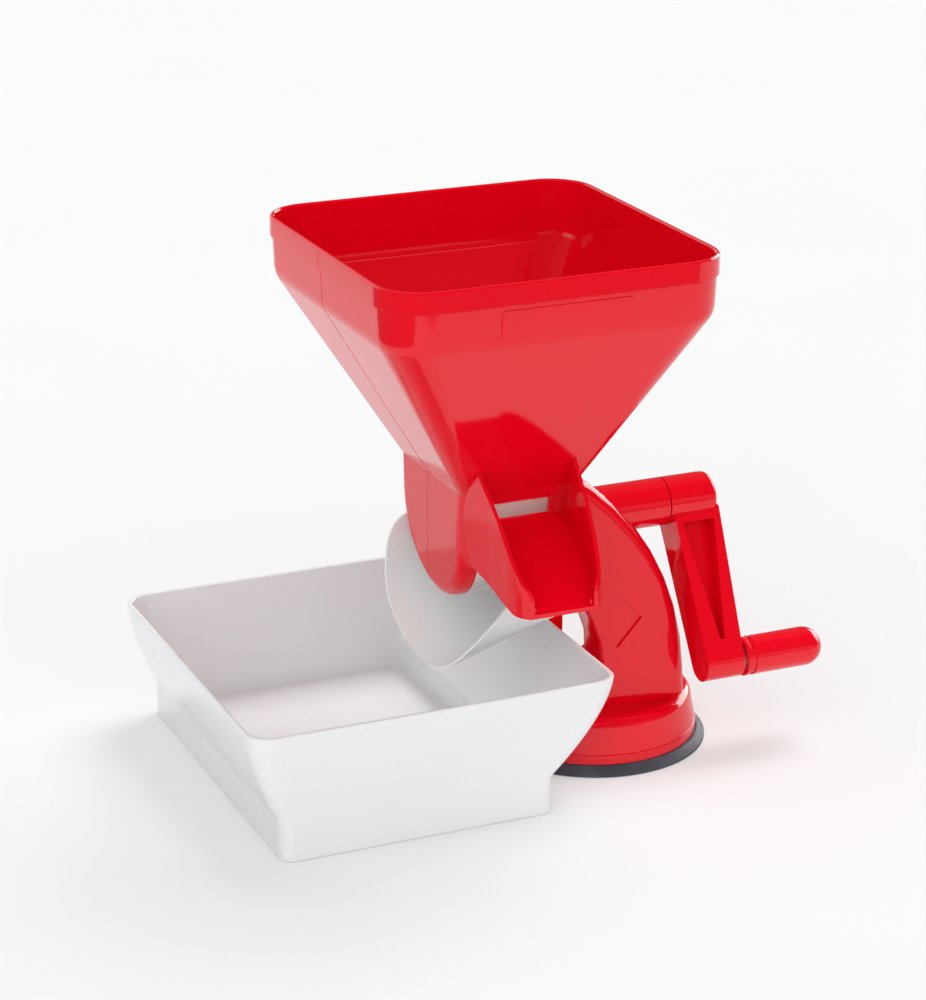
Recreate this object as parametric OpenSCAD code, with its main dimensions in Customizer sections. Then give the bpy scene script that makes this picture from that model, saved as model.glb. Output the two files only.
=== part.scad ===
// Hand-cranked food mill (tomato press) on a suction base.
// +X runs along the crank axis towards the crank, -Y is the waste side, +Z is up.
// The origin is the centre of the suction pad's flat underside.

/* [Hopper] */
// Width of the hopper mouth along the crank axis
hopper_w = 220; // [190:1:240]
// Depth of the hopper mouth across the crank axis
hopper_d = 227; // [200:1:250]
// Height of the hopper's rim above the table
hopper_rim_z = 344.7; // [335:0.1:360]
// Corner radius of the hopper's mouth
hopper_corner_r = 30; // [20:1:40]
// Height of the thicker lip at the rim
hopper_lip_h = 13.5; // [8:0.5:18]
// How far the lip stands proud of the band below it
hopper_lip_step = 1.4; // [0.5:0.1:2.5]
// Height of the upright band, lip included
hopper_band_h = 36.7; // [28:0.1:45]
// How far the band leans in over its height
hopper_band_draft = 1; // [0:0.1:2]
// Wall of the hopper and the barrel
wall = 3; // [2.4:0.1:3.6]

/* [Barrel] */
// Distance of the barrel's middle from the base axis, along X
barrel_x = -74.2; // [-80:0.1:-70]
// Outside length of the barrel
barrel_l = 79.6; // [76:0.1:86]
// Height of the throat, where the hopper's slopes meet the barrel
throat_z = 195; // [191:0.5:205]
// Half width of the throat
throat_half_d = 50.5; // [49:0.1:54]
// Corner radius of the throat
throat_corner_r = 6; // [3:0.5:10]
// Outside radius of the barrel's front quarter, about the crank axis
barrel_front_r = 39; // [36:0.5:40]
// Outside radius of the barrel's wide rear quarter
barrel_rear_r = 58.5; // [54:0.5:59]
// Radius of the rounded edge round the barrel's left end
end_round = 8; // [3:0.5:9]
// Length of the sieve opening in the barrel's floor
sieve_opening_l = 51; // [40:1:54]
// How far the opening's middle lies right of the barrel's
sieve_opening_shift = 1.5; // [0:0.1:3]
// Height of the sieve opening's upper edge at the front
sieve_opening_z = 146; // [140:1:150]
// Distance of the sieve opening's back edge behind the base axis
sieve_opening_y = 34.5; // [28:0.5:35]

/* [Crank axis] */
// Height of the crank axis
axis_z = 157; // [155:0.5:160]
// Offset of the crank axis from the base axis, towards the front
axis_y = -9; // [-12:0.5:-6]

/* [Waste chute] */
// Width of the waste slot in the barrel's front wall
slot_w = 38; // [30:1:46]
// Height of the waste slot
slot_h = 11; // [8:0.5:14]
// Height of the slot's lower edge, where the chute's floor starts
slot_z = 176; // [172:0.5:179]
// Outside width of the chute at the barrel
chute_w = 62.4; // [54:0.2:70]
// Outside width of the chute at its lip
chute_lip_w = 44.6; // [38:0.2:52]
// Reach of the chute's lip, from the base axis towards the front
chute_lip_y = 112; // [100:1:120]
// Height of the underside of the chute's lip
chute_lip_z = 135; // [130:1:142]
// Height at which the chute's side walls meet the hopper
chute_top_z = 214.5; // [206:0.5:220]
// Height of the nose of the side walls, at the lip
chute_nose_z = 150; // [146:0.5:156]
// Height of the side walls' lower edge at the barrel
chute_heel_z = 150; // [146:0.5:156]
// Wall of the chute
chute_wall = 2.6; // [2:0.1:3.5]

/* [Sieve] */
// Thickness of the sieve's sheet steel
sieve_t = 0.8; // [0.5:0.1:1.2]
// How far the sheet laps over the edges of its opening
sieve_lap = 4; // [2:0.5:6]
// Diameter of the sieve's holes
sieve_hole_d = 2.2; // [1.5:0.1:2.6]
// Spacing of the holes along the barrel
sieve_pitch = 5; // [4.2:0.1:7]

/* [Rotor] */
// Radius of the rotor drum
drum_r = 26; // [22:0.5:28]
// Thickness of each wiper blade
blade_t = 5; // [4:0.1:6]
// Length of each wiper blade
blade_l = 53; // [44:0.2:54]
// How far a blade sinks into the drum against its springs
blade_travel = 6; // [3:0.5:7]
// Outside diameter of the blade springs
blade_spring_d = 4.2; // [3.4:0.1:4.6]
// Wire of the blade springs
blade_wire_d = 0.7; // [0.5:0.1:0.9]
// Turns of each blade spring
blade_spring_turns = 5; // [3:1:6]

/* [Shaft] */
// Radius of the drive shaft
shaft_r = 7; // [6:0.1:8]
// Side of the square that drives the rotor
shaft_square = 9.4; // [8:0.1:10]
// Length of the square
shaft_square_l = 9; // [7:0.5:10]
// Running clearance of the shaft in its bushes, on the radius
shaft_fit = 0.06; // [0.03:0.01:0.09]
// Radius of the rotor's left journal
journal_r = 5; // [4:0.1:6]
// Wall of the two shaft bushes
bush_wall = 2.5; // [2:0.1:3]
// Length of each shaft bush
bush_l = 14; // [10:0.5:18]

/* [Leg] */
// Outside radius of the arched leg
leg_outer_r = 163.5; // [160:0.5:168]
// Inside radius of the arched leg
leg_inner_r = 105; // [102:0.5:110]
// Height of the arch's centre
leg_centre_z = 51; // [48:0.5:54]
// Slope of the leg's flat front, forward offset for each unit of height
leg_lean = 0.0963; // [0.08:0.001:0.11]
// Depth of the leg from front to back at the crank axis
leg_d = 38; // [36:0.5:42]
// Wall of the leg
leg_wall = 3; // [2.4:0.1:3.6]
// Outside radius of the bearing tube
tube_r = 15.6; // [15:0.1:17]
// How far the bearing tube ends short of the leg's outermost face
tube_set_back = 7.3; // [4:0.1:9]

/* [Base] */
// Radius of the suction pad
pad_r = 73.85; // [70:0.1:80]
// Thickness of the suction pad's edge
pad_h = 6.2; // [5:0.1:8]
// Radius of the red skirt at its bottom
skirt_r = 67.85; // [66:0.1:69]
// Radius of the skirt at its shoulder
skirt_top_r = 64.2; // [63:0.1:66]
// Height of the seam between the skirt and the bottom ring
seam_z = 12.9; // [11.5:0.1:14]
// Height of the collar's rounded crest
collar_z = 35; // [33:0.5:37]
// Radius of the round bead that forms the collar
collar_bead_r = 6.5; // [5:0.5:8]
// Wall of the skirt
skirt_wall = 3; // [2.4:0.1:3.6]

/* [Suction lever] */
// Height of the lever's axis
lever_z = 19; // [18:0.1:20]
// Distance of the lever from the base axis, towards the back
lever_y = 70; // [69:0.5:74]
// Height of the lever's tip
lever_tip_z = 82; // [70:1:90]
// Width of the lever's paddle
lever_w = 24; // [18:1:26]
// Thickness of the lever
lever_t = 6; // [4:0.5:8]
// Radius of the lever's axle
lever_axle_r = 3.2; // [2.5:0.1:3.4]
// Throw of the cam that lifts the stud
cam_throw = 3; // [2:0.1:3.2]
// Radius of the cam
cam_r = 8; // [7.5:0.1:8.6]
// Radius of the plate at the stud's foot
stud_plate_r = 44; // [36:0.5:46]
// Wall of the yoke on top of the stud
yoke_wall = 3.5; // [2.5:0.1:4.5]

/* [Crank] */
// Gap between the crank's hub and the bearing tube
hub_gap = 0.8; // [0.8:0.1:2]
// Length of the crank's hub
hub_l = 35; // [30:0.5:40]
// Centre distance from the crank axis to the grip
crank_reach = 106.9; // [90:0.1:108]
// Angle of the crank from hanging straight down, towards the front
crank_angle = 24.9; // [0:0.1:60]
// Gap between the boss that carries the grip and the leg
boss_gap = 0.8; // [0.5:0.1:4]
// Radius of the boss
boss_r = 12; // [11:0.1:12.8]
// Length of the boss along X
boss_l = 26.5; // [24:0.5:30]
// Thickness of the arm's two rails
arm_rail_t = 5; // [3.5:0.1:6]

/* [Grip] */
// Radius of the grip
grip_r = 12.7; // [11:0.1:14]
// Length of the grip
grip_l = 58; // [50:0.5:70]
// Radius of the grip's spindle
spindle_r = 4; // [3.5:0.1:5]
// Running clearance of the grip on its spindle, on the radius
grip_fit = 0.06; // [0.03:0.01:0.09]

/* [Juice guard] */
// Half width of the guard's trough
guard_half_w = 52; // [51:0.5:54]
// Height of the trough's bottom at its mouth
guard_mouth_z = 66; // [62:0.5:72]
// Height of the trough's bottom at its closed end
guard_end_z = 94; // [88:0.5:100]
// Where the mouth's lowest point lies, along X
guard_mouth_x = -117; // [-122:0.5:-116]
// Where the mouth reaches farthest, on the back wall, along X
guard_lip_x = -125.3; // [-130:0.1:-124]
// Where the closed end lies, along X
guard_end_x = -46; // [-50:0.5:-44]
// Height of the trough's low front edge
guard_front_z = 123; // [116:0.5:128]
// Wall of the guard
guard_wall = 2; // [1.6:0.1:2.6]

/* [Catch bowl] */
// Left edge of the bowl's rim
bowl_left_x = -271.4; // [-280:0.2:-262]
// Right edge of the bowl's rim
bowl_right_x = -31.6; // [-40:0.2:-30]
// Front edge of the bowl's rim
bowl_front_y = -105.8; // [-115:0.2:-98]
// Back edge of the bowl's rim
bowl_back_y = 148; // [140:0.5:160]
// Height of the bowl
bowl_h = 83.75; // [78:0.05:84.5]
// Height of the bowl's upright foot
bowl_foot_h = 24; // [18:0.5:30]
// Left side of the bowl's foot
bowl_foot_left_x = -252.9; // [-258:0.2:-240]
// Right side of the bowl's foot
bowl_foot_right_x = -74.2; // [-90:0.2:-74.2]
// Wall of the bowl
bowl_wall = 2.6; // [2:0.1:3.5]

/* [Hidden] */
$fn = 48;

red = "red";
white = "whitesmoke";
steel = "silver";
dark = "darkslategray";

// Gap between bodies that pass or face each other
air = 0.3;
// Overlap that keeps a union or a cut from ending in a shared face
eps = 0.02;
// A length that reaches past the whole part, for cuts
far = 300;
// Steps along a lofted quarter circle
corner_steps = 10;
// Segments of the large round parts
fine_fn = 128;
// Angle between the points of the barrel's skin
skin_step = 5;

// Hopper: levels and insets of its band and lip
lip_bottom_z = hopper_rim_z - hopper_lip_h;
band_bottom_z = hopper_rim_z - hopper_band_h;
band_inset = hopper_lip_step + hopper_band_draft;
rim_round = 1;
bend_l = 5;

// Barrel
barrel_left = barrel_x - barrel_l / 2;
barrel_right = barrel_x + barrel_l / 2;
barrel_bottom = axis_z - barrel_front_r;
barrel_front_y = axis_y - barrel_front_r;
rear_centre_z = barrel_bottom + barrel_rear_r;
opening_left = barrel_x - sieve_opening_l / 2 + sieve_opening_shift;
opening_right = opening_left + sieve_opening_l;

// Waste chute: half widths, floor and the curves of its side walls
chute_half = chute_w / 2;
chute_lip_half = chute_lip_w / 2;
chute_bend_y = 72;
chute_floor_t = 2.6;
chute_nose_r = 14;
chute_keel_y = chute_lip_y - 11;
chute_sag = 2.4;

// Sieve
sieve_fit = 0.1;
sieve_edge = 3;
hole_angle_front = 8;
hole_angle_rear = 5;
hole_margin = 3;
hole_top_front = acos((axis_z - sieve_opening_z) / barrel_front_r) - hole_margin;
hole_top_rear = asin((sieve_opening_y - axis_y) / barrel_rear_r) - hole_margin;

// Rotor, from the left bush to the right wall of the barrel
journal_l = 5;
drum_left = barrel_left + wall + journal_l + air;
drum_right = barrel_right - wall - air;
blade_x = drum_left + 3;
blade_fit = 0.1;
blade_bottom = 14;
web_half = blade_bottom - blade_travel - 4.5;
tip_r = barrel_front_r - wall - 0.4;
spring_rest_l = blade_bottom - web_half - 2 * blade_fit;

// Shaft, bushes and seal
bush_r = shaft_r + shaft_fit + bush_wall;
left_bush_r = journal_r + bush_wall;
bush_floor = 1;
seal_r = shaft_r + 3;
seal_l = 4;
clip_t = 0.5;
clip_reach = 2;
shaft_socket_l = hub_l - 8;

// Spigot and tongue that plug the housing into the leg
spigot_r = 13;
spigot_l = 8;
plug_fit = 0.1;
tongue_l = 6;
tongue_w = 16;
tongue_h = 8;

// Juice guard, its rail on the barrel and the curves of its mouth
rail_z = 146;
rail_h = 3;
guard_centre_y = -2;
guard_centre_z = 122;
guard_back_z = rail_z + rail_h + air + guard_wall;
guard_inner_y = guard_centre_y + guard_half_w - guard_wall;
guard_front_x = -83;
guard_crest_x = -111;
guard_bulge_z = 120;
guard_flange_w = 3.2;
guard_steps = 32;
rail_y = 20;

// Leg: an arch about the barrel's left end, and its foot
leg_mid_r = (leg_outer_r + leg_inner_r) / 2;
leg_half = (leg_outer_r - leg_inner_r) / 2;
leg_right = barrel_left + leg_outer_r;
tube_end_x = leg_right - tube_set_back;
leg_front_y = axis_y - leg_d / 2;
leg_corner = [9, 18, 18, 3.5];
flare_z = 82;
rear_flare_w = 27;
inner_flare_w = 38;
foot_step = 6;

// Base: collar, top plate, ribs and screws
skirt_foot_r = skirt_r - 0.4;
collar_r = skirt_top_r - collar_bead_r + 0.3;
collar_bead_z = collar_z - collar_bead_r;
plate_z = collar_z - 3;
foot_z = plate_z - skirt_wall / 2;
rib_y = 22;
rib_t = 5;
rib_l = 2 * sqrt(pow(skirt_top_r - skirt_wall / 2, 2) - pow(rib_y, 2));
ring_inner_r = 50;
screw_r = 1.6;
screw_head_r = 3.1;
screw_head_h = 2.6;
screw_l = 15;
screw_pitch_r = 56;
screw_boss_r = 5;
pad_web_t = 3;
pad_bevel_h = 2.2;

// Suction mechanism
axle_fit = 0.06;
bearing_r = lever_axle_r + axle_fit;
lever_boss_r = 9;
lever_neck_h = 25;
lever_neck_half_w = 7;
yoke_t = 14;
yoke_side_gap = 0.5;
// The cam runs ahead of the coupled lift by this much half way through its turn
cam_lead = 0.21 * cam_throw;
yoke_low = lever_z - cam_r - air;
yoke_high = lever_z + cam_r + cam_lead + air;
yoke_half_w = cam_r + cam_throw + yoke_side_gap;
stud_z = pad_web_t + air;
stud_plate_t = 2.7;
cam_t = 13;

// Crank and grip
hub_x = tube_end_x + hub_gap;
boss_x = leg_right + boss_gap;
hub_round = 9;
arm_web_t = 4;
channel_end_w = 3;
// How far the arm's outer face lies inside the end of the boss
arm_set_in = 0.5;
grip_x = boss_x + boss_l + 2.5;
grip_flange_l = 3;
grip_neck_depth = 1.2;
spindle_seat = 18;
spindle_end_gap = 12;
snap_l = 2;
snap_h = 0.8;

// Bowl: corner radii at its foot and rim, and the curve of its flare
bowl_foot_r = 8;
bowl_rim_r = 14;
bowl_draft = 3;
bowl_flare_power = 1.6;
bowl_steps = 12;

// ---------- general shapes ----------

// Points of a rounded rectangle, corner by corner, anticlockwise from the right front.
// radii are [right front, right back, left back, left front].
function rounded_rect(x0, x1, y0, y1, radii) = [
    for (corner = [0:3], i = [0:corner_steps])
        let (
            r = radii[corner],
            cx = (corner == 0 || corner == 1) ? x1 - r : x0 + r,
            cy = (corner == 1 || corner == 2) ? y1 - r : y0 + r,
            a = -90 + 90 * corner + 90 * i / corner_steps
        )
        [cx + r * cos(a), cy + r * sin(a)]
];

// Points along a curve that leaves a towards b and arrives at c from b.
function curve(a, b, c, steps = 6) = [
    for (i = [0:steps])
        let (t = i / steps)
        (1 - t) * (1 - t) * a + 2 * t * (1 - t) * b + t * t * c
];

// Points of the arc of radius r that rounds the corner at b between a and c.
function round_corner(a, b, c, r, steps = 5) = let (
    u = (a - b) / norm(a - b),
    v = (c - b) / norm(c - b),
    half = acos(u * v) / 2,
    centre = b + (u + v) / norm(u + v) * r / sin(half),
    start = b + u * r / tan(half) - centre,
    end = b + v * r / tan(half) - centre,
    a0 = atan2(start[1], start[0]),
    turn = (atan2(end[1], end[0]) - a0 + 540) % 360 - 180
) [for (i = [0:steps]) centre + r * [cos(a0 + turn * i / steps), sin(a0 + turn * i / steps)]];

// Faces of a stack of closed rings with the same number of points.
function loft_faces(ring_count, n) = concat(
    [[for (i = [0:n - 1]) i]],
    [for (k = [0:ring_count - 2], i = [0:n - 1])
        [k * n + i, (k + 1) * n + i, (k + 1) * n + (i + 1) % n, k * n + (i + 1) % n]],
    [[for (i = [n - 1:-1:0]) (ring_count - 1) * n + i]]
);

// A solid through rings given bottom to top, each anticlockwise seen from its top.
module loft(rings) {
    polyhedron(
        points = [for (ring = rings, p = ring) p],
        faces = loft_faces(len(rings), len(rings[0])),
        convexity = 6
    );
}

// A cylinder along X that starts at x.
module x_cylinder(r, l, x = 0) {
    translate([x, 0, 0]) rotate([0, 90, 0]) cylinder(r = r, h = l);
}

// A cylinder along Y that starts at y and runs towards the back.
module y_cylinder(r, l, y = 0) {
    translate([0, y + l, 0]) rotate([90, 0, 0]) cylinder(r = r, h = l);
}

// Extrudes an outline drawn in (Y, Z) along X.
module extrude_x(x, l) {
    translate([x, 0, 0]) rotate([90, 0, 90]) linear_extrude(height = l) children();
}

// Extrudes an outline drawn in (X, Z) along Y.
module extrude_y(y, l) {
    translate([0, y + l, 0]) rotate([90, 0, 0]) linear_extrude(height = l) children();
}

// Puts its children on the crank axis.
module on_axis() {
    translate([0, axis_y, axis_z]) children();
}

// ---------- hopper and barrel ----------

// A level of the hopper is [half width, half depth, corner radius, height].
// Level at the mouth's outline, shrunk on all sides by inset, at height z.
function mouth(inset, z) = [hopper_w / 2 - inset, hopper_d / 2 - inset, hopper_corner_r - inset, z];

// Level at the throat's outline, shrunk on all sides by inset, at height z.
function throat(inset, z) =
    [barrel_l / 2 - inset, throat_half_d - inset, max(throat_corner_r - inset, 1), z];

// Levels that round the bend between the slopes and the band.
function bend(low, corner, high) = curve(
    corner + (low - corner) * bend_l / norm(low - corner),
    corner,
    corner + (high - corner) * bend_l / norm(high - corner),
    4
);

// The outlines of a list of levels.
function hopper_rings(levels) = [for (v = levels)
    [for (p = rounded_rect(barrel_x - v[0], barrel_x + v[0], -v[1], v[1], [v[2], v[2], v[2], v[2]]))
        [p[0], p[1], v[3]]]];

// Distance of the hopper's front slope from the middle plane at height z.
function slope_y(z) = let (band_half_d = hopper_d / 2 - band_inset)
    throat_half_d + (band_half_d - throat_half_d) * (z - throat_z) / (band_bottom_z - throat_z);

module hopper_skin() {
    base = throat(0, throat_z);
    lip = mouth(hopper_lip_step, lip_bottom_z);
    loft(hopper_rings(concat(
        [base],
        bend(base, mouth(band_inset, band_bottom_z), lip),
        [
            lip,
            mouth(0, lip_bottom_z + rim_round),
            mouth(0, hopper_rim_z - rim_round),
            mouth(rim_round, hopper_rim_z)
        ]
    )));
}

module hopper_inside() {
    base = throat(wall, throat_z);
    brim = mouth(wall, hopper_rim_z - rim_round);
    loft(hopper_rings(concat(
        [throat(wall, throat_z - 1), base],
        bend(base, mouth(wall + band_inset, band_bottom_z), brim),
        [brim, mouth(wall - rim_round, hopper_rim_z), mouth(wall - rim_round, hopper_rim_z + 1)]
    )));
}

// The barrel's outline in (Y, Z), shrunk on all sides by inset.
// The front quarter is round about the crank axis, and the rear one is wider.
module barrel_outline(inset = 0) {
    front_r = barrel_front_r - inset;
    rear_r = barrel_rear_r - inset;
    intersection() {
        translate([axis_y, axis_z]) circle(r = front_r, $fn = fine_fn);
        translate([axis_y - far, axis_z - far]) square(far);
    }
    intersection() {
        translate([axis_y, rear_centre_z]) circle(r = rear_r, $fn = fine_fn);
        translate([axis_y, rear_centre_z - far]) square(far);
    }
    polygon([
        [axis_y - front_r, axis_z],
        [axis_y, axis_z],
        [axis_y, rear_centre_z],
        [axis_y + rear_r, rear_centre_z],
        [throat_half_d - inset, throat_z],
        [inset - throat_half_d, throat_z],
        [axis_y - front_r, rear_centre_z]
    ]);
}

// The same outline as a ring of points at x, for the barrel's rounded left end.
function barrel_ring(x, inset) = let (
    front_r = barrel_front_r - inset,
    rear_r = barrel_rear_r - inset
) concat(
    [[x, inset - throat_half_d, throat_z], [x, axis_y - front_r, rear_centre_z]],
    [for (a = [180:skin_step:270]) [x, axis_y + front_r * cos(a), axis_z + front_r * sin(a)]],
    [for (a = [270 + skin_step:skin_step:360]) [x, axis_y + rear_r * cos(a), rear_centre_z + rear_r * sin(a)]],
    [[x, throat_half_d - inset, throat_z]]
);

module barrel_skin() {
    loft(concat(
        [for (a = [0:15:90]) barrel_ring(barrel_left + end_round * (1 - cos(a)), end_round * (1 - sin(a)))],
        [barrel_ring(barrel_right, 0)]
    ));
}

// Opening in the barrel's floor that the sieve closes.
module sieve_opening() {
    translate([opening_left, -far / 2, barrel_bottom - 1])
        cube([sieve_opening_l, far / 2 + sieve_opening_y, sieve_opening_z - barrel_bottom + 1]);
}

// Side view of the sieve's reach round the opening, grown by lap.
module sieve_reach(lap) {
    translate([-far, 0]) square([far + sieve_opening_y + lap, sieve_opening_z + lap]);
}

// Rebate round the opening, in which the sheet lies flush with the barrel.
module sieve_rebate() {
    lap = sieve_lap + sieve_fit;
    extrude_x(opening_left - lap, sieve_opening_l + 2 * lap) intersection() {
        difference() {
            barrel_outline(-1);
            barrel_outline(sieve_t + sieve_fit);
        }
        sieve_reach(lap);
    }
}

module waste_slot() {
    translate([barrel_x - slot_w / 2, -throat_half_d - 1, slot_z])
        cube([slot_w, throat_half_d + axis_y - drum_r + 1, slot_h]);
}

// Boss inside the left end wall that holds the left bush.
module left_boss() {
    on_axis() difference() {
        x_cylinder(left_bush_r + wall, journal_l + eps, barrel_left + wall - eps);
        x_cylinder(left_bush_r, journal_l + 1, barrel_left + wall);
    }
}

module hopper_body() {
    color(red) {
        difference() {
            union() {
                hopper_skin();
                barrel_skin();
                // rail that the juice guard hangs on
                translate([opening_left, rail_y, rail_z])
                    cube([guard_end_x - guard_wall - air - opening_left, guard_inner_y - air - rail_y, rail_h]);
                // spigot and tongue that plug into the leg
                on_axis() x_cylinder(spigot_r, spigot_l + eps, barrel_right - eps);
                translate([barrel_right - eps, axis_y - tongue_w / 2, barrel_bottom + tongue_h])
                    cube([tongue_l + eps, tongue_w, tongue_h]);
            }
            hopper_inside();
            extrude_x(barrel_left + wall, barrel_l - 2 * wall) barrel_outline(wall);
            sieve_opening();
            sieve_rebate();
            waste_slot();
            on_axis() x_cylinder(seal_r, wall + spigot_l + 2, barrel_right - wall - 1);
        }
        left_boss();
    }
}

// ---------- waste chute ----------

// Plan of the chute, narrowing to its lip on an elliptic curve.
module chute_plan(inset = 0) {
    side = [for (i = [0:8])
        let (t = i / 8)
        [
            chute_lip_half + (chute_half - chute_lip_half) * sqrt(1 - t * t) - inset,
            -chute_bend_y - (chute_lip_y - chute_bend_y) * t
        ]];
    polygon(concat(
        [[inset - chute_half, barrel_front_y + wall], [chute_half - inset, barrel_front_y + wall]],
        side,
        [for (i = [8:-1:0]) [-side[i][0], side[i][1]]]
    ));
}

// Side view of the chute's walls in (Y, Z).
module chute_side() {
    top = [-slope_y(chute_top_z), chute_top_z];
    nose = [-chute_lip_y, chute_nose_z];
    toe = [-chute_lip_y, chute_lip_z];
    heel = [barrel_front_y, chute_heel_z];
    keel = [-chute_keel_y, chute_lip_z];
    polygon(concat(
        [top],
        round_corner(top, nose, toe, chute_nose_r),
        [toe],
        curve(keel, (keel + heel) / 2 + [0, chute_sag], heel),
        [[barrel_front_y, rear_centre_z], [-throat_half_d, throat_z]]
    ));
}

// Side view of the chute's floor, from the slot's lower edge to the lip.
module chute_floor_side() {
    polygon([
        [barrel_front_y, slot_z],
        [barrel_front_y, slot_z - chute_floor_t],
        [-chute_lip_y + chute_floor_t, chute_lip_z],
        [-chute_lip_y, chute_lip_z],
        [-chute_lip_y, chute_lip_z + chute_floor_t]
    ]);
}

module waste_chute() {
    color(red) {
        intersection() {
            translate([barrel_x, 0, chute_lip_z - 1]) linear_extrude(height = chute_top_z - chute_lip_z + 2)
                difference() {
                    chute_plan();
                    chute_plan(chute_wall);
                    translate([-chute_half, -chute_lip_y - 1]) square([chute_w, 1 + eps]);
                }
            extrude_x(barrel_x - chute_half, chute_w) chute_side();
        }
        intersection() {
            translate([barrel_x, 0, chute_lip_z - 1]) linear_extrude(height = slot_z - chute_lip_z + 2)
                chute_plan();
            extrude_x(barrel_x - chute_half, chute_w) chute_floor_side();
        }
    }
}

// ---------- sieve ----------

// A row of holes through the sheet at x, on the front and the rear arc.
module sieve_hole_row(x, stagger) {
    translate([x, axis_y, axis_z])
        for (a = [hole_angle_front * (1 + stagger):hole_angle_front:hole_top_front]) rotate([-a, 0, 0])
            translate([0, 0, -barrel_front_r - 1]) cylinder(d = sieve_hole_d, h = 2 * wall, $fn = 16);
    translate([x, axis_y, rear_centre_z])
        for (a = [hole_angle_rear * stagger:hole_angle_rear:hole_top_rear]) rotate([a, 0, 0])
            translate([0, 0, -barrel_rear_r - 1]) cylinder(d = sieve_hole_d, h = 2 * wall, $fn = 16);
}

module sieve_screen() {
    rows = floor((sieve_opening_l - 2 * sieve_edge) / sieve_pitch);
    color(steel) difference() {
        extrude_x(opening_left - sieve_lap, sieve_opening_l + 2 * sieve_lap) intersection() {
            difference() {
                barrel_outline(0);
                barrel_outline(sieve_t);
            }
            sieve_reach(sieve_lap);
        }
        for (row = [0:rows])
            sieve_hole_row(opening_left + sieve_edge + row * sieve_pitch, row % 2 == 0 ? 0 : 0.5);
    }
}

// ---------- juice guard ----------

// Bottom of the trough at x, on a straight fall to the mouth.
function guard_floor(x) = guard_mouth_z
    + (guard_end_z - guard_mouth_z) * (x - guard_mouth_x) / (guard_end_x - guard_mouth_x);

// U-shaped section of the trough at x, shrunk by inset, open at top_z.
function guard_section(x, inset, top_z) = let (
    half_w = guard_half_w - inset,
    depth = guard_centre_z - guard_floor(x) - inset
) concat(
    [[x, guard_centre_y - half_w, top_z]],
    [for (i = [0:guard_steps])
        let (a = 180 * i / guard_steps)
        [x, guard_centre_y - half_w * cos(a), guard_centre_z - depth * sin(a)]],
    [[x, guard_centre_y + half_w, top_z]]
);

// Takes off all that lies left of the mouth: the rim leans back along the front wall.
module guard_mouth_cut() {
    bottom = [guard_mouth_x, guard_mouth_z];
    front_top = [guard_front_x, guard_front_z];
    back_bulge = [guard_lip_x + 0.5, guard_bulge_z];
    crest = [guard_crest_x, guard_back_z];
    extrude_y(-far / 2, far / 2 + guard_centre_y) polygon(concat(
        [[-far, 0], [guard_mouth_x, 0]],
        curve(bottom, [guard_mouth_x + 9, guard_end_z - 2], front_top),
        [[guard_front_x, far], [-far, far]]
    ));
    extrude_y(guard_centre_y - eps, far / 2) polygon(concat(
        [[-far, 0], [guard_mouth_x, 0]],
        curve(bottom, [guard_lip_x - 3, guard_end_z - 2], back_bulge),
        curve(back_bulge, [guard_lip_x + 1, crest[1] - 5], crest),
        [[guard_crest_x, far], [-far, far]]
    ));
}

module juice_guard() {
    outer_left = guard_lip_x - 2;
    color(white) difference() {
        union() {
            difference() {
                loft([for (x = [outer_left, guard_end_x]) guard_section(x, 0, guard_back_z)]);
                loft([for (x = [outer_left - 1, guard_end_x - guard_wall])
                    guard_section(x, guard_wall, guard_back_z + 1)]);
            }
            // flange that hangs on the housing's rail
            translate([opening_left, guard_inner_y - guard_flange_w, guard_back_z - guard_wall])
                cube([guard_end_x - opening_left - eps, guard_flange_w + eps, guard_wall]);
        }
        // the front wall is lower than the back
        translate([-far / 2, -far / 2, guard_front_z]) cube([far, far / 2 + rail_y, far]);
        guard_mouth_cut();
        // the end wall fits round the barrel and its rail
        extrude_x(guard_end_x - 2 * guard_wall, 3 * guard_wall) {
            barrel_outline(-air);
            translate([rail_y - air, rail_z - air]) square([guard_inner_y - rail_y + air, rail_h + 2 * air]);
        }
    }
}

// ---------- leg and base ----------

// How far the leg's rear side spreads at height z, to stand over the base.
function rear_flare(z) = z > flare_z ? 0
    : rear_flare_w * pow((flare_z - max(z, foot_z)) / (flare_z - foot_z), 2);
// How far the leg's inner side spreads at height z.
function inner_flare(z) = z > flare_z ? 0
    : inner_flare_w * pow((flare_z - max(z, foot_z)) / (flare_z - foot_z), 2.4);

// Section of the leg. angle is its place on the arch and drop its height below the centre.
function leg_ring(angle, drop, inset) = let (
    mid_z = leg_centre_z + leg_mid_r * sin(angle) - drop,
    outline = rounded_rect(
        -leg_half - inner_flare(mid_z) + inset, leg_half - inset,
        leg_front_y + inset, leg_front_y + leg_d + rear_flare(mid_z) - inset,
        [for (r = leg_corner) r - inset]
    )
) [for (p = outline)
    let (z = leg_centre_z + (leg_mid_r + p[0]) * sin(angle) - drop)
    [barrel_left + (leg_mid_r + p[0]) * cos(angle), p[1] - leg_lean * (axis_z - z), z]];

// Sections from bottom_z up the straight foot and round the arch.
function leg_rings(inset, top_angle, bottom_z) = concat(
    [for (drop = [leg_centre_z - bottom_z:-foot_step:0.1]) leg_ring(0, drop, inset)],
    [for (i = [0:9]) leg_ring(top_angle * i / 9, 0, inset)]
);

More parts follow.
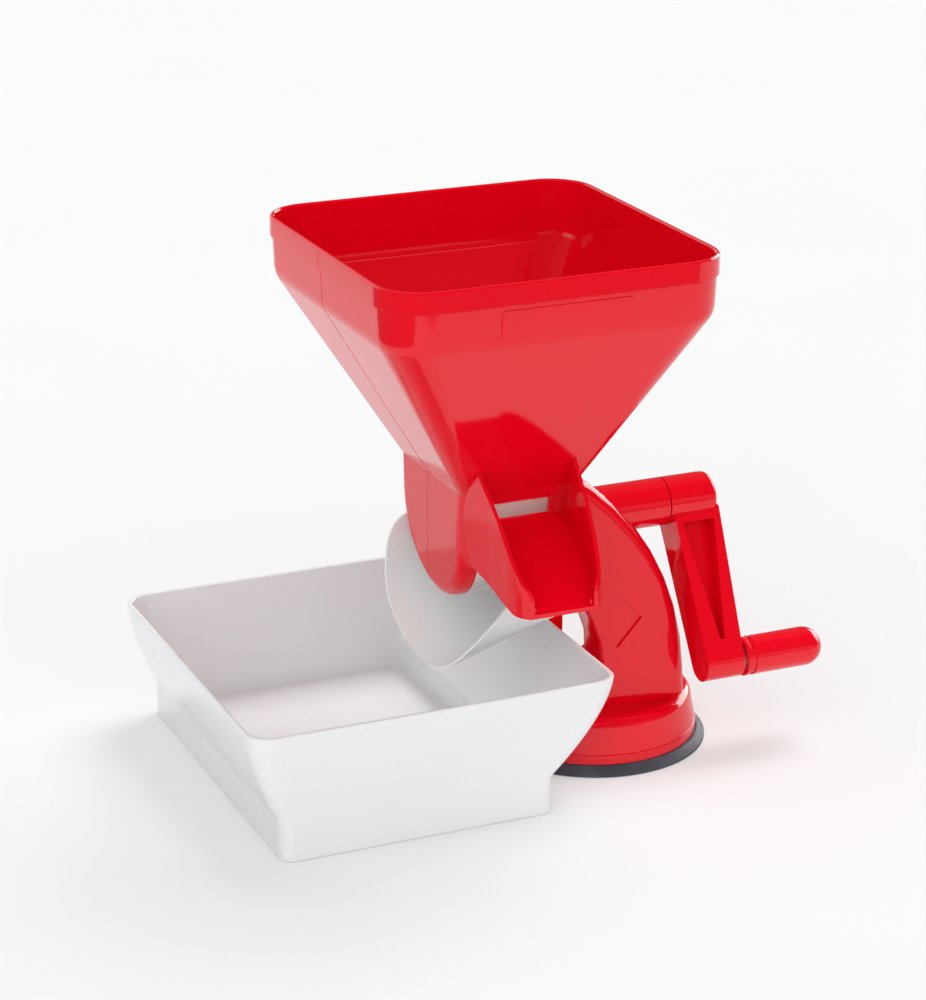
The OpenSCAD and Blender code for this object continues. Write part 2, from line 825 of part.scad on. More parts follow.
// Half section of the skirt and its rounded collar, shrunk by inset, closed by the top plate.
module skirt_section(inset) {
    polygon([
        [0, seam_z - inset / skirt_wall],
        [skirt_foot_r - inset, seam_z - inset / skirt_wall],
        [skirt_foot_r - inset, seam_z],
        [collar_r + collar_bead_r - inset, collar_bead_z],
        [collar_r, collar_z - inset],
        [collar_r - collar_bead_r, plate_z - inset],
        [0, plate_z - inset]
    ]);
    translate([collar_r, collar_bead_z]) circle(r = collar_bead_r - inset);
}

// Repeats its children at the base's screws.
module at_screws() {
    for (a = [45:90:315]) rotate([0, 0, a]) translate([screw_pitch_r, 0, 0]) children();
}

module leg_column() {
    under_plate = plate_z - skirt_wall;
    tube_l = tube_end_x - barrel_right;
    color(red) difference() {
        union() {
            difference() {
                union() {
                    loft(leg_rings(0, 66, foot_z));
                    rotate_extrude($fn = fine_fn) difference() {
                        skirt_section(0);
                        skirt_section(skirt_wall);
                    }
                }
                loft(leg_rings(leg_wall, 57, under_plate - 1));
            }
            on_axis() x_cylinder(tube_r, tube_l, barrel_right);
            // cross ribs with the lever's bearings
            for (side = [-1, 1])
                translate([-rib_l / 2, side * rib_y - rib_t / 2, seam_z])
                    cube([rib_l, rib_t, under_plate - seam_z + eps]);
            at_screws() translate([0, 0, seam_z])
                cylinder(r = screw_boss_r, h = under_plate - seam_z + eps);
        }
        // flat mouth against the barrel
        translate([barrel_right - far, -far / 2, flare_z]) cube(far);
        on_axis() {
            x_cylinder(bush_r, tube_l + 2, barrel_right - 1);
            x_cylinder(spigot_r + plug_fit, spigot_l + 1.5, barrel_right - 1);
        }
        // lever's bearings, through both ribs and the rear skirt
        translate([0, 0, lever_z]) y_cylinder(bearing_r, far / 2 + rib_y, -rib_y - rib_t);
        at_screws() translate([0, 0, seam_z - 1]) cylinder(r = screw_r, h = screw_l);
    }
}

module base_ring() {
    color(red) difference() {
        rotate_extrude($fn = fine_fn) polygon([
            [ring_inner_r, pad_h], [skirt_r, pad_h], [skirt_r, seam_z - 0.6],
            [skirt_foot_r, seam_z], [ring_inner_r, seam_z]
        ]);
        at_screws() {
            cylinder(r = screw_r + 0.2, h = seam_z + 1);
            cylinder(r = screw_head_r + air, h = pad_h + screw_head_h + air);
        }
    }
}

module base_screws() {
    color(steel) at_screws() translate([0, 0, pad_h + air]) {
        cylinder(r = screw_head_r, h = screw_head_h);
        cylinder(r = screw_r, h = screw_l);
    }
}

module suction_pad() {
    color(dark) rotate_extrude($fn = fine_fn) polygon([
        [0, 0], [pad_r, 0], [pad_r, pad_bevel_h], [skirt_r + 1, pad_h],
        [ring_inner_r + air, pad_h], [ring_inner_r - pad_web_t, pad_web_t], [0, pad_web_t]
    ]);
}

// ---------- suction lever ----------

module suction_stud() {
    yoke_top = yoke_high + yoke_wall;
    color(steel) difference() {
        union() {
            translate([0, 0, stud_z]) cylinder(r = stud_plate_r, h = stud_plate_t, $fn = fine_fn);
            translate([-yoke_half_w - yoke_wall, -yoke_t / 2, stud_z + 1])
                cube([2 * (yoke_half_w + yoke_wall), yoke_t, yoke_top - stud_z - 1]);
        }
        translate([-yoke_half_w, -yoke_t / 2 - 1, yoke_low])
            cube([2 * yoke_half_w, yoke_t + 2, yoke_high - yoke_low]);
    }
}

module suction_lever() {
    tip_h = lever_tip_z - lever_z - lever_w / 2;
    color(red) translate([0, 0, lever_z]) {
        y_cylinder(lever_axle_r, lever_y + rib_y + rib_t / 2 + 2 + eps, -rib_y - rib_t / 2 - 2);
        y_cylinder(lever_boss_r, lever_t, lever_y);
        extrude_y(lever_y, lever_t) {
            polygon([
                [-lever_neck_half_w, 0], [lever_neck_half_w, 0],
                [lever_w / 2, lever_neck_h], [lever_w / 2, tip_h],
                [-lever_w / 2, tip_h], [-lever_w / 2, lever_neck_h]
            ]);
            translate([0, tip_h]) circle(r = lever_w / 2);
        }
    }
}

module lift_cam() {
    color(steel) translate([0, 0, lever_z]) difference() {
        translate([-cam_throw, 0, 0]) y_cylinder(cam_r, cam_t, -cam_t / 2);
        y_cylinder(lever_axle_r, cam_t + 2, -cam_t / 2 - 1);
    }
}

module lever_axle_clip() {
    color(steel) translate([0, 0, lever_z]) difference() {
        y_cylinder(lever_axle_r + 2, 1, -rib_y - rib_t / 2 - 1 - air);
        y_cylinder(lever_axle_r, 3, -rib_y - rib_t / 2 - 3);
    }
}

// ---------- shaft, bushes and seal ----------

module left_bush() {
    color(white) on_axis() difference() {
        x_cylinder(left_bush_r, journal_l, barrel_left + wall);
        x_cylinder(journal_r + shaft_fit, journal_l, barrel_left + wall + bush_floor);
    }
}

// A plain sleeve on the shaft, starting at x.
module shaft_sleeve(r, l, x) {
    on_axis() difference() {
        x_cylinder(r, l, x);
        x_cylinder(shaft_r + shaft_fit, l + 2, x - 1);
    }
}

module inner_shaft_bush() {
    color(white) shaft_sleeve(bush_r, bush_l, barrel_right + spigot_l + 1);
}

module outer_shaft_bush() {
    color(white) shaft_sleeve(bush_r, bush_l, tube_end_x - bush_l);
}

module shaft_seal() {
    color(dark) shaft_sleeve(seal_r, seal_l, barrel_right - wall);
}

module drive_shaft() {
    color(steel) on_axis() {
        x_cylinder(shaft_r, hub_x + shaft_socket_l - air - drum_right, drum_right);
        translate([drum_right - shaft_square_l, -shaft_square / 2, -shaft_square / 2])
            cube([shaft_square_l + eps, shaft_square, shaft_square]);
    }
}

// Open ring that keeps the shaft from moving towards the barrel.
module shaft_clip() {
    x = (tube_end_x + hub_x - clip_t) / 2;
    color(steel) on_axis() difference() {
        x_cylinder(shaft_r + clip_reach, clip_t, x);
        x_cylinder(shaft_r, clip_t + 2, x - 1);
        translate([x - 1, -clip_reach, 0]) cube([clip_t + 2, 2 * clip_reach, far]);
    }
}

// ---------- rotor ----------

module rotor_drum() {
    slot_t = blade_t + 2 * blade_fit;
    socket = shaft_square + blade_fit;
    journal_end = barrel_left + wall + bush_floor + air;
    color(white) on_axis() difference() {
        union() {
            x_cylinder(drum_r, drum_right - drum_left, drum_left);
            x_cylinder(journal_r, drum_left - journal_end + eps, journal_end);
        }
        for (side = [0, 180]) rotate([side, 0, 0])
            translate([blade_x - blade_fit, -slot_t / 2, web_half])
                cube([blade_l + 2 * blade_fit, slot_t, drum_r]);
        translate([drum_right - shaft_square_l - air, -socket / 2, -socket / 2])
            cube([shaft_square_l + air + 1, socket, socket]);
    }
}

// Wiper blade in its rest place above the axis, its tip rounded to the sweep.
module blade() {
    intersection() {
        translate([blade_x, -blade_t / 2, blade_bottom]) cube([blade_l, blade_t, drum_r]);
        x_cylinder(tip_r, blade_l, blade_x);
    }
}

module upper_blade() {
    color(white) on_axis() blade();
}

module lower_blade() {
    color(white) on_axis() rotate([180, 0, 0]) blade();
}

// Rings of a coil spring along Z, a small polygon swept round a helix.
function coil_rings(coil_r, wire_r, turns, h, sides = 6, per_turn = 10) = [
    for (k = [0:turns * per_turn])
        let (
            a = 360 * k / per_turn,
            z = wire_r + (h - 2 * wire_r) * k / (turns * per_turn)
        )
        [for (i = [0:sides - 1])
            let (b = 360 * i / sides, r = coil_r + wire_r * cos(b))
            [r * cos(a), r * sin(a), z + wire_r * sin(b)]]
];

// The two springs under one blade, between it and the drum's web.
module blade_springs() {
    coil_r = (blade_spring_d - blade_wire_d) / 2;
    for (share = [0.25, 0.75])
        translate([blade_x + blade_l * share, 0, web_half + blade_fit])
            loft(coil_rings(coil_r, blade_wire_d / 2, blade_spring_turns, spring_rest_l));
}

module upper_blade_springs() {
    color(steel) on_axis() blade_springs();
}

module lower_blade_springs() {
    color(steel) on_axis() rotate([180, 0, 0]) blade_springs();
}

// ---------- crank and grip ----------

// Puts its children on the crank's own axes, with -Z along the arm.
module on_crank() {
    on_axis() rotate([-crank_angle, 0, 0]) children();
}

// Puts its children on the grip's axis.
module on_grip() {
    on_crank() translate([0, 0, -crank_reach]) children();
}

// The crank's hub, with its outer end rounded.
module crank_hub() {
    translate([hub_x, 0, 0]) rotate([0, 90, 0]) rotate_extrude() {
        square([tube_r - hub_round, hub_l]);
        square([tube_r, hub_l - hub_round]);
        intersection() {
            translate([tube_r - hub_round, hub_l - hub_round]) circle(r = hub_round);
            translate([tube_r - hub_round - eps, hub_l - hub_round - eps]) square(hub_round + 1);
        }
    }
}

module crank_arm() {
    boss_end = boss_x + boss_l;
    hub_end = hub_x + hub_l;
    boss_mid = boss_x + boss_l / 2;
    channel_top = tube_r + 1;
    channel_bottom = crank_reach - boss_r - 1;
    color(red) on_crank() difference() {
        union() {
            crank_hub();
            translate([0, 0, -crank_reach]) x_cylinder(boss_r, boss_l, boss_x);
            extrude_y(-boss_r, 2 * boss_r) polygon([
                [hub_x + 1, 0], [boss_x, -crank_reach], [boss_end - arm_set_in, -crank_reach],
                [hub_end - 1, -hub_round], [hub_end - hub_round, 0]
            ]);
        }
        // channels in the arm's front and back, between its rails
        for (y = [-boss_r - 1, arm_web_t / 2])
            extrude_y(y, boss_r + 1 - arm_web_t / 2) polygon([
                [hub_x + 1 + arm_rail_t, -channel_top],
                [boss_mid - channel_end_w / 2, -channel_bottom],
                [boss_mid + channel_end_w / 2, -channel_bottom],
                [hub_end - 1 - arm_rail_t, -channel_top]
            ]);
        // sockets for the shaft and the spindle
        x_cylinder(shaft_r, shaft_socket_l + 1, hub_x - 1);
        translate([0, 0, -crank_reach]) x_cylinder(spindle_r, spindle_seat + 1, boss_end - spindle_seat);
    }
}

module grip_spindle() {
    start = boss_x + boss_l - spindle_seat + air;
    end = grip_x + grip_l - spindle_end_gap - air;
    color(steel) on_grip() {
        x_cylinder(spindle_r, end - start, start);
        x_cylinder(spindle_r + snap_h, snap_l, end - 2 * snap_l);
    }
}

module grip_washer() {
    color(steel) on_grip() difference() {
        x_cylinder(grip_r - 3, grip_x - air - boss_x - boss_l, boss_x + boss_l);
        x_cylinder(spindle_r, grip_l, boss_x);
    }
}

module hand_grip() {
    groove_x = grip_x + grip_l - spindle_end_gap - air - 2 * snap_l;
    color(red) on_grip() difference() {
        union() {
            x_cylinder(grip_r, grip_flange_l, grip_x);
            x_cylinder(grip_r - grip_neck_depth, 2 * grip_flange_l, grip_x);
            x_cylinder(grip_r, grip_l - grip_r - 2 * grip_flange_l, grip_x + 2 * grip_flange_l - eps);
            translate([grip_x + grip_l - grip_r, 0, 0]) rotate([0, 90, 0]) sphere(r = grip_r);
        }
        x_cylinder(spindle_r + grip_fit, grip_l - spindle_end_gap + 1, grip_x - 1);
        x_cylinder(spindle_r + snap_h + air, snap_l + 2 * air, groove_x - air);
    }
}

// ---------- catch bowl ----------

// Ring of the bowl at height z with the given flare, from 0 at the foot to 1 at the rim.
function bowl_ring(z, flare, inset) = let (
    r = bowl_foot_r + (bowl_rim_r - bowl_foot_r) * flare,
    outline = rounded_rect(
        bowl_foot_left_x + (bowl_left_x - bowl_foot_left_x) * flare + inset,
        bowl_foot_right_x + (bowl_right_x - bowl_foot_right_x) * flare - inset,
        bowl_front_y + bowl_draft * (1 - flare) + inset,
        bowl_back_y - bowl_draft * (1 - flare) - inset,
        [r, r, r, r]
    )
) [for (p = outline) [p[0], p[1], z]];

function bowl_rings(inset, floor_z) = concat(
    [bowl_ring(floor_z, 0, inset), bowl_ring(bowl_foot_h, 0, inset)],
    [for (i = [1:bowl_steps])
        let (t = i / bowl_steps)
        bowl_ring(bowl_foot_h + (bowl_h - bowl_foot_h) * t, 1 - pow(1 - t, bowl_flare_power), inset)]
);

module catch_bowl() {
    color(white) difference() {
        loft(bowl_rings(0, 0));
        loft(concat(bowl_rings(bowl_wall, bowl_wall), [bowl_ring(bowl_h + 1, 1, bowl_wall)]));
    }
}

hopper_body();
waste_chute();
sieve_screen();
juice_guard();
catch_bowl();
leg_column();
base_ring();
base_screws();
suction_pad();
suction_stud();
suction_lever();
lift_cam();
lever_axle_clip();
left_bush();
inner_shaft_bush();
outer_shaft_bush();
shaft_seal();
drive_shaft();
shaft_clip();
rotor_drum();
upper_blade();
lower_blade();
upper_blade_springs();
lower_blade_springs();
crank_arm();
grip_spindle();
grip_washer();
hand_grip();
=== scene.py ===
"""Hand-cranked food mill: red hopper and barrel on an arched leg with a suction base.

The scene dresses the mill's pieces in moulded plastics, steels and rubber, and
adds the light, the floor and the camera. Sizes in the classes are millimetres.
"""
import logging
import math
from dataclasses import dataclass
from enum import Enum
from typing import Iterable, Optional, Sequence

import bmesh
import bpy
from mathutils import Matrix, Vector


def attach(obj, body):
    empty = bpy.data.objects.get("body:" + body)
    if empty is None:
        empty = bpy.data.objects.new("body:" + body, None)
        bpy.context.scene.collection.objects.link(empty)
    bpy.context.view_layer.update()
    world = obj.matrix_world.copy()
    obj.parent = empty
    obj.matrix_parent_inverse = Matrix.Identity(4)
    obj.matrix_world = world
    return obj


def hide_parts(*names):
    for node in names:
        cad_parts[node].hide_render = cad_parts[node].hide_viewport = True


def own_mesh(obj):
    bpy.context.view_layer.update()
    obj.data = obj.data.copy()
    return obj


MM = 0.001
WELD = 0.002  # corners closer than this are one, in millimetres
FLAT = 0.5  # faces that meet at less than this angle are one, in degrees
FOLDED = -0.9999  # cosine between two faces that lie back to back
SMOOTH = 32.0  # edges sharper than this stay crisp, in degrees
CORNER = 6  # edges in a rounded corner
PLAIN = (1, 1, 1, 1)  # light without a tint
LOG = logging.getLogger("food_mill")
Colour = tuple[float, float, float]
Triple = tuple[float, float, float]


# ---------- finishes ----------


class Graph:
    """The node tree of one material, with short calls to add and join nodes."""

    def __init__(self, name: str) -> None:
        """Starts an empty material.

        Args:
            name: name of the material.
        """
        self.material = bpy.data.materials.new(name)
        self.material.use_nodes = True
        self.tree = self.material.node_tree
        self.tree.nodes.clear()

    @classmethod
    def on(cls, tree: bpy.types.NodeTree) -> "Graph":
        """A graph on a tree that is there already, emptied first.

        Args:
            tree: the tree.

        Returns:
            The graph.
        """
        graph = cls.__new__(cls)
        graph.tree = tree
        tree.nodes.clear()
        return graph

    def add(
        self, kind: str, inputs: Optional[dict] = None, **settings: object
    ) -> bpy.types.Node:
        """Adds a node.

        Args:
            kind: node type without its ShaderNode prefix.
            inputs: values, or output sockets to join, by input name or number.
            **settings: properties of the node itself.

        Returns:
            The new node.
        """
        node = self.tree.nodes.new("ShaderNode" + kind)
        for name, value in settings.items():
            setattr(node, name, value)
        for name, value in (inputs or {}).items():
            if isinstance(value, bpy.types.NodeSocket):
                self.tree.links.new(value, node.inputs[name])
            else:
                node.inputs[name].default_value = value
        return node

    def place(self, scale: Sequence[float] = (1, 1, 1)) -> bpy.types.NodeSocket:
        """Object coordinates, stretched by scale.

        Args:
            scale: factor along each axis.

        Returns:
            The coordinates.
        """
        coords = self.add("TexCoord").outputs["Object"]
        return self.add("Mapping", {"Vector": coords, "Scale": scale}).outputs[0]

    def noise(
        self, at: bpy.types.NodeSocket, scale: float, detail: float = 2
    ) -> bpy.types.NodeSocket:
        """A noise from 0 to 1.

        Args:
            at: coordinates.
            scale: features in a metre.
            detail: octaves.

        Returns:
            The noise's value.
        """
        made = self.add("TexNoise", {"Vector": at, "Scale": scale, "Detail": detail})
        return made.outputs["Fac"]

    def spread(
        self, value: bpy.types.NodeSocket, low: float, high: float
    ) -> bpy.types.NodeSocket:
        """Maps the middle of a noise to a range.

        Args:
            value: noise from 0 to 1.
            low: result at 0.3.
            high: result at 0.7.

        Returns:
            The mapped value.
        """
        inputs = {"Value": value, "From Min": 0.3, "From Max": 0.7, "To Min": low, "To Max": high}
        return self.add("MapRange", inputs, interpolation_type="SMOOTHSTEP").outputs[0]

    def blend(
        self, share: bpy.types.NodeSocket, low: Colour, high: Colour
    ) -> bpy.types.NodeSocket:
        """Mixes two colours.

        Args:
            share: how much of the second colour.
            low: first colour, linear.
            high: second colour, linear.

        Returns:
            The mixed colour.
        """
        mix = self.add("Mix", {0: share}, data_type="RGBA")
        mix.inputs[6].default_value = (*low, 1)
        mix.inputs[7].default_value = (*high, 1)
        return mix.outputs[2]

    def relief(
        self,
        height: bpy.types.NodeSocket,
        depth: float,
        under: Optional[bpy.types.NodeSocket] = None,
    ) -> bpy.types.NodeSocket:
        """A bump.

        Args:
            height: height from 0 to 1.
            depth: its depth in millimetres.
            under: normal that it lies on.

        Returns:
            The bumped normal.
        """
        inputs = {"Height": height, "Distance": depth * MM, "Strength": 1.0}
        if under is not None:
            inputs["Normal"] = under
        return self.add("Bump", inputs).outputs[0]

    def math(self, operation: str, *values: object) -> bpy.types.NodeSocket:
        """Works out a value.

        Args:
            operation: kind of sum.
            *values: numbers or sockets that it takes.

        Returns:
            The result.
        """
        return self.add("Math", dict(enumerate(values)), operation=operation).outputs[0]

    def above(self, edge: float, value: object, width: float) -> bpy.types.NodeSocket:
        """Steps softly from 0 to 1 as a value passes an edge.

        Args:
            edge: where the step starts.
            value: the value.
            width: width of the step, or less than 0 to step on the way down.

        Returns:
            The step.
        """
        inputs = {"Value": value, "From Min": edge, "From Max": edge + width}
        return self.add("MapRange", inputs, interpolation_type="SMOOTHSTEP").outputs[0]

    def along(self, way: bpy.types.NodeSocket, axis: Vector) -> bpy.types.NodeSocket:
        """How far a direction goes along an axis.

        Args:
            way: the direction.
            axis: the axis.

        Returns:
            The distance.
        """
        return self.add("VectorMath", {0: way, 1: axis}, operation="DOT_PRODUCT").outputs["Value"]

    def shade(
        self, way: bpy.types.NodeSocket, axis: Sequence[float], level: float, swing: float
    ) -> bpy.types.NodeSocket:
        """A sky that grows brighter towards an axis.

        Args:
            way: direction.
            axis: brightest direction.
            level: brightness across the axis.
            swing: how much brighter it is on the axis.

        Returns:
            The brightness.
        """
        near = self.math("MAXIMUM", self.along(way, Vector(axis).normalized()), 0.0)
        return self.math("ADD", self.math("MULTIPLY", near, swing), level)

    def panel(self, way: bpy.types.NodeSocket, panel: "Panel") -> bpy.types.NodeSocket:
        """A soft rectangle of light in the sky.

        Args:
            way: direction.
            panel: the light.

        Returns:
            Its brightness.
        """
        centre = Vector(panel.towards).normalized()
        side = centre.cross(Vector((0, 0, 1))).normalized()
        rise = side.cross(centre)
        depth = self.math("MAXIMUM", self.along(way, centre), 0.01)
        light = panel.strength
        for axis, half in ((side, panel.half_width), (rise, panel.half_height)):
            place = self.math("ABSOLUTE", self.math("DIVIDE", self.along(way, axis), depth))
            light = self.math("MULTIPLY", light, self.above(half, place, -panel.soft * half))
        return light

    def surface(self, **inputs: object) -> bpy.types.Material:
        """Ends the tree in a principled shader.

        Args:
            **inputs: the shader's inputs, with _ for a blank.

        Returns:
            The finished material.
        """
        named = {name.replace("_", " "): value for name, value in inputs.items()}
        shader = self.add("BsdfPrincipled", named)
        self.add("OutputMaterial", {"Surface": shader.outputs[0]})
        return self.material


@dataclass(frozen=True)
class Plastic:
    """Glossy moulded plastic with faint flow marks and a gently uneven surface.

    The flow, specks and waves are in features a metre, and depths in millimetres.
    """

    title: str
    colour: Colour
    deep: Colour
    roughness: float = 0.06
    ripple: float = 0.03
    scatter: float = 0.0
    reach: Triple = (0.004, 0.003, 0.003)
    flow: float = 9.0
    stretch: Triple = (1.0, 1.0, 0.5)
    specks: float = 1500.0
    speck_depth: float = 0.0008
    waves: float = 26.0
    uneven: tuple[float, float] = (-0.01, 0.02)

    def build(self) -> bpy.types.Material:
        """Makes the material.

        Returns:
            The material.
        """
        graph = Graph(self.title)
        at = graph.place()
        flow = graph.noise(graph.place(self.stretch), self.flow)
        specks = graph.noise(at, self.specks, 1)
        waves = graph.noise(at, self.waves, 1)
        grain = graph.relief(specks, self.speck_depth)
        return graph.surface(
            Base_Color=graph.blend(graph.spread(flow, 0, 1), self.deep, self.colour),
            Roughness=graph.spread(specks, *(self.roughness + step for step in self.uneven)),
            Subsurface_Weight=self.scatter,
            Subsurface_Radius=self.reach,
            Normal=graph.relief(waves, self.ripple, grain),
        )


@dataclass(frozen=True)
class Steel:
    """Drawn or rolled steel with fine lines along one axis.

    The lines and clouds are in features a metre, and the depth in millimetres.
    """

    title: str
    colour: Colour
    roughness: float = 0.28
    grain: Triple = (1, 1, 1)
    metallic: float = 1.0
    lines: float = 400.0
    line_depth: float = 0.01
    clouds: float = 60.0
    dull: float = 0.72
    uneven: tuple[float, float] = (-0.06, 0.08)

    def build(self) -> bpy.types.Material:
        """Makes the material.

        Returns:
            The material.
        """
        graph = Graph(self.title)
        lines = graph.noise(graph.place(self.grain), self.lines, 3)
        clouds = graph.noise(graph.place(), self.clouds, 3)
        dark = tuple(self.dull * c for c in self.colour)
        return graph.surface(
            Base_Color=graph.blend(graph.spread(clouds, 0, 1), dark, self.colour),
            Metallic=self.metallic,
            Roughness=graph.spread(lines, *(self.roughness + step for step in self.uneven)),
            Normal=graph.relief(lines, self.line_depth),
        )


@dataclass(frozen=True)
class Rubber:
    """Matt rubber with a fine dusty speckle.

    The specks and clouds are in features a metre, and the depth in millimetres.
    """

    title: str
    colour: Colour
    roughness: float = 0.55
    specks: float = 700.0
    speck_depth: float = 0.03
    clouds: float = 35.0
    bloom: float = 1.5
    dust: float = 0.01
    uneven: tuple[float, float] = (-0.08, 0.1)

    def build(self) -> bpy.types.Material:
        """Makes the material.

        Returns:
            The material.
        """
        graph = Graph(self.title)
        at = graph.place()
        specks = graph.noise(at, self.specks, 4)
        clouds = graph.noise(at, self.clouds)
        light = tuple(self.bloom * c + self.dust for c in self.colour)
        return graph.surface(
            Base_Color=graph.blend(graph.spread(clouds, 0, 1), self.colour, light),
            Roughness=graph.spread(specks, *(self.roughness + step for step in self.uneven)),
            Normal=graph.relief(specks, self.speck_depth),
        )


BRIGHT = (0.8, 0.0003, 0.011)
DEEP = (0.775, 0.0003, 0.0105)


class Finish(Enum):
    """The mill's finishes, each with the name of its slot."""

    RED = ("red_plastic", Plastic("red moulding", BRIGHT, DEEP))
    LEVER = ("lever_plastic", Plastic("red lever", BRIGHT, DEEP, 0.1))
    GRIP = ("grip_plastic", Plastic("red grip", (0.81, 0.0003, 0.012), BRIGHT, 0.08))
    WHITE = (
        "white_plastic",
        Plastic("white guard", (0.9, 0.945, 0.945), (0.89, 0.935, 0.935), 0.1, 0.05, 0.15),
    )
    BOWL = (
        "bowl_plastic",
        Plastic("white bowl", (0.84, 0.855, 0.862), (0.83, 0.845, 0.852), 0.12, scatter=0.1),
    )
    ROTOR = ("rotor_plastic", Plastic("white rotor", (0.72, 0.64, 0.61), (0.7, 0.62, 0.59), 0.2))
    BLADE = ("blade_plastic", Plastic("white blade", (0.78, 0.77, 0.75), (0.76, 0.75, 0.73), 0.25))
    BEARING = ("bearing_plastic", Plastic("bearing", (0.72, 0.71, 0.69), (0.7, 0.69, 0.67), 0.25))
    SIEVE = ("sieve_steel", Steel("rolled steel", (0.92, 0.91, 0.89), 0.34, (0.1, 1, 1), 0.4))
    SHAFT = ("shaft_steel", Steel("turned steel", (0.66, 0.65, 0.63), 0.22, (1, 0.2, 0.2)))
    SPRING = ("spring_steel", Steel("spring wire", (0.55, 0.54, 0.52), 0.3))
    ZINC = ("zinc_steel", Steel("zinc plate", (0.62, 0.64, 0.66), 0.35))
    PAD = ("pad_rubber", Rubber("pad rubber", (0.046, 0.052, 0.068)))
    SEAL = ("seal_rubber", Rubber("seal rubber", (0.02, 0.02, 0.022), 0.5))

    @property
    def slot(self) -> str:
        """Slot that the finish belongs to.

        Returns:
            The slot's name.
        """
        return self.value[0]

    def material(self) -> bpy.types.Material:
        """The finish's material, made once.

        Returns:
            The material.
        """
        finish = self.value[1]
        return bpy.data.materials.get(finish.title) or finish.build()


# ---------- mesh tools ----------


@dataclass(frozen=True)
class Edges:
    """How a piece's edges are rounded, and how far large faces keep their shading flat."""

    width: float = 0.8
    segments: int = 3
    above: float = 28.0
    weight: int = 80


